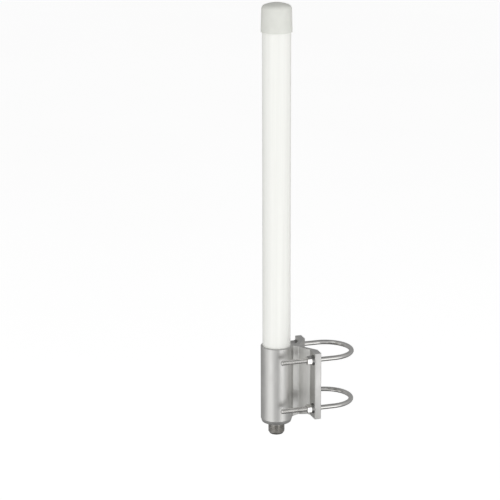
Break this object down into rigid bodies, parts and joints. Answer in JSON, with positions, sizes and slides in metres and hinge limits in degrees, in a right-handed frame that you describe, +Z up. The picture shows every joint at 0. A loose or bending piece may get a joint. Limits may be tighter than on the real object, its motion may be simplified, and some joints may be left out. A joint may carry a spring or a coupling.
{
  "type": "omnidirectional antenna",
  "caption": "Upright omnidirectional antenna: a white radome tube on an aluminium base with a V saddle and U-bolts for a mast, and a coaxial socket below.",
  "frame": {"origin": "on the axis of the mast that the clamp holds, at half the height of the clamp's flanges", "axes": "+Z up along the mast and the antenna, +X from the antenna to the mast, +Y to the far flange"},
  "size_m": [0.0931, 0.0602, 0.4211],
  "materials": {
    "satin_aluminium": "satin extruded and tumbled, lightly anodised",
    "radome_fibreglass": "off-white fibreglass, satin gloss, fine lengthwise fibres",
    "cap_plastic": "light grey moulded plastic, semi-matt",
    "bright_steel": "bright stainless steel",
    "nickel_plate": "nickel-plated brass",
    "gold_plate": "gold-plated brass",
    "array_brass": "drawn brass tube",
    "white_ptfe": "white fluoropolymer",
    "white_foam": "closed-cell foam",
    "coax_jacket": "translucent brown cable jacket",
    "black_rubber": "matt black rubber"
  },
  "bodies": {
    "antenna": {"base_bracket": "satin_aluminium", "radome_tube": "radome_fibreglass", "top_cap": "cap_plastic", "radome_gasket": "black_rubber", "cap_gasket": "black_rubber", "top_foam_plug": "white_foam", "feed_coax": "coax_jacket", "choke_sleeve": "array_brass", "dipole_lower_1": "array_brass", "dipole_upper_1": "array_brass", "array_spacer_1": "white_ptfe", "dipole_lower_2": "array_brass", "dipole_upper_2": "array_brass", "array_spacer_2": "white_ptfe", "dipole_lower_3": "array_brass", "dipole_upper_3": "array_brass", "array_spacer_3": "white_ptfe", "dipole_lower_4": "array_brass", "dipole_upper_4": "array_brass", "array_spacer_4": "white_ptfe", "connector_body": "nickel_plate", "connector_insulator": "white_ptfe", "connector_contact": "gold_plate", "connector_gasket": "black_rubber", "connector_washer": "nickel_plate", "connector_nut": "nickel_plate", "spring_washer_upper_near": "bright_steel", "spring_washer_upper_far": "bright_steel", "spring_washer_lower_near": "bright_steel", "spring_washer_lower_far": "bright_steel", "flat_washer_upper_near": "bright_steel", "flat_washer_upper_far": "bright_steel", "flat_washer_lower_near": "bright_steel", "flat_washer_lower_far": "bright_steel"},
    "upper_bolt": {"ubolt_upper": "bright_steel"},
    "lower_bolt": {"ubolt_lower": "bright_steel"},
    "upper_near_nut": {"nut_upper_near": "bright_steel"},
    "upper_far_nut": {"nut_upper_far": "bright_steel"},
    "lower_near_nut": {"nut_lower_near": "bright_steel"},
    "lower_far_nut": {"nut_lower_far": "bright_steel"}
  },
  "joints": [
    {"name": "upper_near_nut_turn", "type": "hinge", "parent": "antenna", "child": "upper_near_nut", "pos_m": [-0.0264, -0.02505, 0.0257], "axis": [1, 0, 0], "range_deg": [-10800, 3600]},
    {"name": "upper_far_nut_turn", "type": "hinge", "parent": "antenna", "child": "upper_far_nut", "pos_m": [-0.0264, 0.02505, 0.0257], "axis": [1, 0, 0], "range_deg": [-10800, 3600]},
    {"name": "upper_bolt_draw", "type": "slide", "parent": "antenna", "child": "upper_bolt", "axis": [1, 0, 0], "range_m": [-0.008, 0.024]},
    {"name": "lower_near_nut_turn", "type": "hinge", "parent": "antenna", "child": "lower_near_nut", "pos_m": [-0.0264, -0.02505, -0.0233], "axis": [1, 0, 0], "range_deg": [-10800, 3600]},
    {"name": "lower_far_nut_turn", "type": "hinge", "parent": "antenna", "child": "lower_far_nut", "pos_m": [-0.0264, 0.02505, -0.0233], "axis": [1, 0, 0], "range_deg": [-10800, 3600]},
    {"name": "lower_bolt_draw", "type": "slide", "parent": "antenna", "child": "lower_bolt", "axis": [1, 0, 0], "range_m": [-0.008, 0.024]}
  ],
  "couplings": [
    {"joint": "upper_near_nut_turn", "follows": "upper_bolt_draw", "rad_per_m": -7854},
    {"joint": "upper_far_nut_turn", "follows": "upper_bolt_draw", "rad_per_m": -7854},
    {"joint": "lower_near_nut_turn", "follows": "lower_bolt_draw", "rad_per_m": -7854},
    {"joint": "lower_far_nut_turn", "follows": "lower_bolt_draw", "rad_per_m": -7854}
  ]
}
